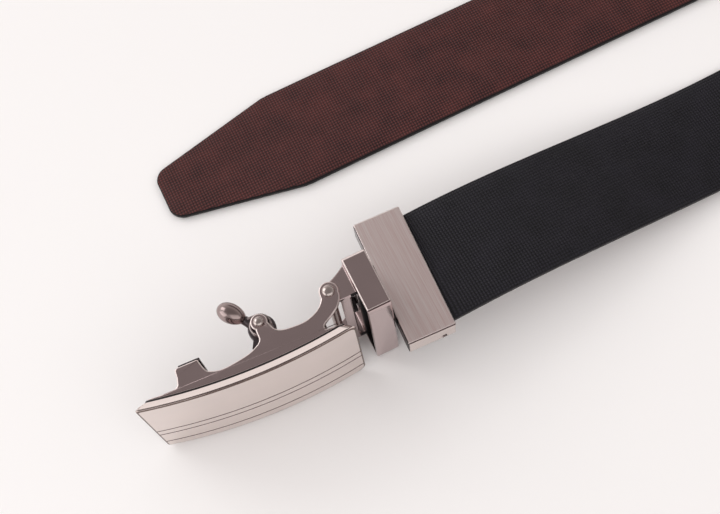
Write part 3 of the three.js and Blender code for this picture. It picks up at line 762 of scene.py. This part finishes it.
def lever():
    """Knob, neck, disc, hub and pawl of the release lever."""
    at = lever_place()
    aim = Matrix.Rotation(KNOB["bend"], 4, "Z")
    flat = Matrix.Rotation(-math.pi / 2, 4, "X")
    egg = []
    for i in range(KNOB_STEPS + 1):
        turn = math.pi * i / KNOB_STEPS
        along = -math.cos(turn)
        wide = KNOB["radius"] * math.sin(turn) * (1 + KNOB["egg"] * along)
        egg.append((max(wide, 0.02), KNOB["offset"] + along * KNOB["length"] / 2))
    level = Matrix.Translation((0, 0, KNOB["height"]))
    knob = turned("lever_knob", egg, at @ level @ aim @ flat, [BLACK_STEEL, KNOB_METAL])
    for polygon in knob.data.polygons:
        polygon.material_index = 1
    root = (LEVER_DISC["low"] + LEVER_DISC["top"]) / 2
    rise = math.atan2(KNOB["height"] - root, KNOB["offset"])
    tilted = Matrix.Translation((0, 0, root)) @ aim @ Matrix.Rotation(rise, 4, "X") @ flat
    neck = turned("lever_neck", NECK_ROWS, at @ tilted, [BLACK_STEEL])
    disc = turned("lever_disc", rimmed(LEVER_DISC), at, [BLACK_STEEL])
    hub = turned("lever_hub", rimmed(LEVER_HUB), at, [BLACK_STEEL])
    body = joined("release_lever", [knob, neck, disc, hub, pawl(at)])
    sharpen(body, 50)
    return wear(steady(body), "lever_body", "dark_steel", "lever")


def pawl(at):
    half, lean, reach, tooth, wide = (PAWL[key] for key in ("half", "lean", "reach", "tooth", "wide"))
    outline = [(half, 0.0), (half, reach - tooth)]
    pitch = 2 * half / PAWL_TEETH
    for i in range(PAWL_TEETH):
        outline += [(half - pitch * (i + 0.5), reach), (half - pitch * (i + 1), reach - tooth)]
    outline.append((-half, 0.0))
    points = []
    for z in (-wide, wide):
        for a, r in outline:
            x = a * math.cos(lean) - r * math.sin(lean)
            y = -a * math.sin(lean) - r * math.cos(lean)
            points.append(at @ Vector((x, y, z)))
    n = len(outline)
    faces = [tuple(reversed(range(n))), tuple(n + i for i in range(n))]
    faces += [(i, (i + 1) % n, n + (i + 1) % n, n + i) for i in range(n)]
    return face_out(make_piece("lever_pawl", points, faces, [BLACK_STEEL]))


def lever_spring():
    at = lever_place()
    coil = SPRING_COIL
    wound = coil["turns"] * 2 * math.pi * coil["radius"]
    curve = bpy.data.curves.new("lever_spring_coil", "CURVE")
    curve.dimensions = "3D"
    curve.bevel_depth = coil["wire"] / 2 * MM
    curve.bevel_resolution = 3
    curve.use_fill_caps = True
    line = curve.splines.new("POLY")
    steps = int(coil["turns"] * 32) + 10
    line.points.add(steps)
    for i in range(steps + 1):
        walked = mix(-coil["leg"], wound + coil["leg"], i / steps)
        went = min(max(walked, 0.0), wound)
        angle, past = went / coil["radius"], walked - went
        z = coil["low"] + coil["wire"] / 2 + (coil["tall"] - coil["wire"]) * went / wound
        x = coil["radius"] * math.cos(angle) - past * math.sin(angle)
        y = coil["radius"] * math.sin(angle) + past * math.cos(angle)
        line.points[i].co = (*(at @ Vector((x, y, z)) * MM), 1.0)
    curve.materials.append(SPRING)
    piece = show("lever_spring_coil", curve)
    return wear(piece, "frame_body", "bright_steel", "lever_spring")


# What each carried-over solid wears, by a face's normal and place. The clamp's side gets painted shade
# beside the keeper ring, between two heights along Y from the belt's axis.
SHADED_FROM, SHADED_TO = -6.1, 5.8
SLOT_MARGIN = 0.5


def clamp_pick(normal, centre):
    y = centre.y - AXIS_Y
    if abs(normal.z) > 0.99:
        return BRUSHED
    # The side wall towards the ring is painted dark: painted shade up to the ring's far edge, and dark steel
    # beyond it.
    if normal.x < -0.7:
        return SHADE if y < SHADED_TO else BLACK_STEEL
    if abs(normal.z) <= 0.25:
        return NICKEL
    # The left edge beside the ring gets painted shade.
    if normal.x < -0.2 and SHADED_FROM < y < SHADED_TO:
        return SHADE
    # Edges facing the front get a painted dark reflection, and the other edges a painted highlight.
    return PAINTED_SHADE_AND_REFLECTION if normal.y < -0.3 else PAINTED_HIGHLIGHT


def ring_pick(normal, centre):
    y, z = centre.y - AXIS_Y, abs(centre.z - AXIS_Z)
    in_slot = SLOT_FRONT - SLOT_MARGIN < y < SLOT_BACK + SLOT_MARGIN and z < SLOT_HALF + SLOT_MARGIN
    # The slot's inside gets painted shade.
    if in_slot and centre.x > PIN.x + WEB_END and abs(normal.x) < 0.9:
        return SHADE
    folded = 0.35 < abs(normal.z) < 0.98
    # The front fold gets a painted dark reflection.
    if folded and normal.y < -0.25 and y < RING_FRONT + 1.2:
        return PAINTED_SHADE_AND_REFLECTION if abs(normal.z) > 0.5 else DARK
    # The top's long edges get a painted highlight.
    return PAINTED_HIGHLIGHT if folded and z > RING_HALF - 0.6 else DARK


def frame_pick(normal, centre):
    outside = abs(centre.z - AXIS_Z) > FLANGE_OUTSIDE - 0.5
    # The flanges' outer rims get a painted highlight.
    return PAINTED_HIGHLIGHT if outside and 0.25 < abs(normal.z) < 0.98 else DARK


def ring_reshape(point):
    """Steepens the ring's front chamfer, as it is on the real ring."""
    y, z = point.y - AXIS_Y, point.z - AXIS_Z
    if abs(abs(z) - RING_HALF) < 0.01 and abs(y - RING_FRONT - RING_CHAMFER) < 0.01:
        y = RING_FRONT + FOLD_DEPTH
    elif abs(y - RING_FRONT) < 0.01:
        z = math.copysign(RING_HALF - FOLD_HEIGHT, z)
    return Vector((point.x, y + AXIS_Y, z + AXIS_Z))


def build_buckle():
    clamp = rounded_copy(
        "clamp_case", "clamp_shell", 0.5, [BRUSHED, NICKEL, PAINTED_SHADE_AND_REFLECTION, PAINTED_HIGHLIGHT, SHADE, BLACK_STEEL], clamp_pick,
        low=CLAMP_TOP - 0.1, cuts=[((0, AXIS_Y + y, 0), (0, 1, 0)) for y in (SHADED_FROM, SHADED_TO)])
    wear(clamp, "root", "brushed_nickel", "clamp_case")
    jaw = rounded_copy("clamp_jaw", "clamp_jaw_plate", 0.12, [BLACK_STEEL], segments=2)
    wear(jaw, "root", "dark_steel", "clamp_jaw")
    # The swivel rivet wears painted shade all over, as it sits in the ring's slot.
    rivet = rounded_copy("swivel_post", "swivel_rivet", 0.15, [SHADE], segments=2)
    wear(rivet, "root", "dark_steel", "swivel_post")
    ring = rounded_copy(
        "keeper_bracket", "keeper_ring", 0.4, [DARK, PAINTED_SHADE_AND_REFLECTION, SHADE, PAINTED_HIGHLIGHT], ring_pick,
        reshape=ring_reshape, cuts=[((PIN.x + WEB_END, 0, 0), (1, 0, 0))])
    wear(ring, "bracket", "dark_nickel", "keeper_bracket")
    flanged = rounded_copy("frame", "flanged_frame", 0.34, [DARK, PAINTED_HIGHLIGHT], frame_pick)
    wear(flanged, "frame_body", "dark_nickel", "frame")
    bar = rounded_copy("guide_bar", "guide_plate", 0.15, [BLACK_STEEL])
    wear(bar, "frame_body", "dark_steel", "guide_bar")
    face_plate()
    flange_bead(1)
    flange_bead(-1)
    pin("hinge_rivet", 0.0, 0.0, 1.3, 1.75, "hinge_pin")
    pin("lever_rivet", LEVER_ALONG, LEVER_DEPTH, 1.0, 1.45, "lever_pin")
    lever()
    lever_spring()


# Camera, as fitted to the photograph's frame
CAMERA_LENS_PX = 1172.25
CAMERA_FRAME_PX = 720
CAMERA_AZIMUTH = math.radians(-14.19)
CAMERA_ELEVATION = math.radians(67.57)
CAMERA_ROLL = math.radians(-12.09)
CAMERA_TARGET = Vector((16.12, 19.19, 0.0))
CAMERA_DISTANCE = 357.19
CAMERA_PIN = Vector((0.48, -1.35, 0.0))


def set_camera():
    data = bpy.data.cameras.new("photo_camera")
    data.sensor_width = 36.0
    data.lens = data.sensor_width * CAMERA_LENS_PX / CAMERA_FRAME_PX
    data.clip_start, data.clip_end = 0.01, 50.0
    camera = bpy.data.objects.new("photo_camera", data)
    bpy.context.scene.collection.objects.link(camera)
    az, el, roll = CAMERA_AZIMUTH, CAMERA_ELEVATION, CAMERA_ROLL
    ahead = Vector((-math.sin(az) * math.cos(el), math.cos(az) * math.cos(el), -math.sin(el)))
    right = Vector((math.cos(az), math.sin(az), 0.0))
    up = right.cross(ahead)
    right = right * math.cos(roll) + up * math.sin(roll)
    up = right.cross(ahead)
    pin_floor = Vector((PIN.x, PIN.y, 0.0))
    eye = (CAMERA_TARGET + pin_floor - CAMERA_PIN - ahead * CAMERA_DISTANCE) * MM
    turn = Matrix((right, up, -ahead)).transposed().to_4x4()
    camera.matrix_world = Matrix.Translation(eye) @ turn
    bpy.context.scene.camera = camera


FLOOR_HALF = 9.0
FLOOR_DROP = 0.05


def set_floor():
    half = FLOOR_HALF
    corners = [(-half, -half, 0), (half, -half, 0), (half, half, 0), (-half, half, 0)]
    mesh = bpy.data.meshes.new("floor")
    mesh.from_pydata(corners, [], [(0, 1, 2, 3)])
    material, _tree, shader = new_material("pale_floor")
    shader.inputs["Base Color"].default_value = (0.91, 0.888, 0.88, 1.0)
    shader.inputs["Roughness"].default_value = 0.6
    shader.inputs["Specular IOR Level"].default_value = 0.15
    mesh.materials.append(material)
    floor = show("floor", mesh)
    floor.location.z = -FLOOR_DROP * MM


LIGHT_AIM = Vector((-0.22, 0.0, 0.0))


def soft_light(name, place, size, radiance, mirrored=True):
    """A rectangular softbox of an even radiance, turned to the belt, which polished metal may mirror."""
    data = bpy.data.lights.new(name, "AREA")
    data.shape = "RECTANGLE"
    data.size, data.size_y = size
    data.energy = radiance * math.pi * size[0] * size[1]
    light = bpy.data.objects.new(name, data)
    light.location = place
    light.rotation_mode = "QUATERNION"
    light.rotation_quaternion = (LIGHT_AIM - Vector(place)).to_track_quat("-Z", "Y")
    light.visible_glossy = mirrored
    bpy.context.scene.collection.objects.link(light)


# The room's shade by the height of a direction, and that of its dark patch
SKY = (
    (0.00, (0.98, 0.96, 0.95, 1.0)), (0.30, (0.96, 0.94, 0.93, 1.0)), (0.60, (0.54, 0.515, 0.505, 1.0)),
    (0.82, (0.335, 0.31, 0.305, 1.0)), (1.00, (0.29, 0.268, 0.265, 1.0)),
)
DARK_PATCH = (0.07, 0.045, 0.042, 1.0)
NONE, FULL = (0.0, 0.0, 0.0, 1.0), (1.0, 1.0, 1.0, 1.0)


def set_world():
    """A pale room for the polished metal to mirror: dim overhead, and dark low in front and to the right."""
    world = bpy.data.worlds.new("studio")
    bpy.context.scene.world = world
    world.use_nodes = True
    tree = world.node_tree
    g = Graph(tree)
    split = g.node("ShaderNodeSeparateXYZ")
    g.feed(split.inputs[0], g.node("ShaderNodeTexCoord").outputs["Generated"])
    x, y, z = split.outputs
    sky = g.ramp(z, SKY)
    ahead = g.math("MAXIMUM", g.math("MULTIPLY", y, -1.0), x)
    facing = g.ramp(ahead, ((0.1, NONE), (0.5, FULL)))
    lowly = g.ramp(z, ((0.07, NONE), (0.13, FULL), (0.34, FULL), (0.52, NONE)))
    dark = g.math("MULTIPLY", facing, lowly)
    g.feed(tree.nodes["Background"].inputs[0], g.blend(dark, sky, DARK_PATCH))
    tree.nodes["Background"].inputs[1].default_value = 1.0


def set_lights():
    set_world()
    soft_light("overhead_fill", (-0.25, 0.0, 1.5), (3.6, 3.6), 0.58, mirrored=False)
    soft_light("key_softbox", (-0.9, 0.9, 0.9), (0.7, 0.7), 1.9)
    soft_light("front_softbox", (-0.28, -0.8, 0.93), (1.4, 0.88), 0.72)
    soft_light("left_softbox", (-1.25, 0.05, 0.55), (0.8, 0.8), 1.0)
    bpy.context.scene.view_settings.view_transform = "Standard"


build_strap()
build_buckle()
set_camera()
set_floor()
set_lights()
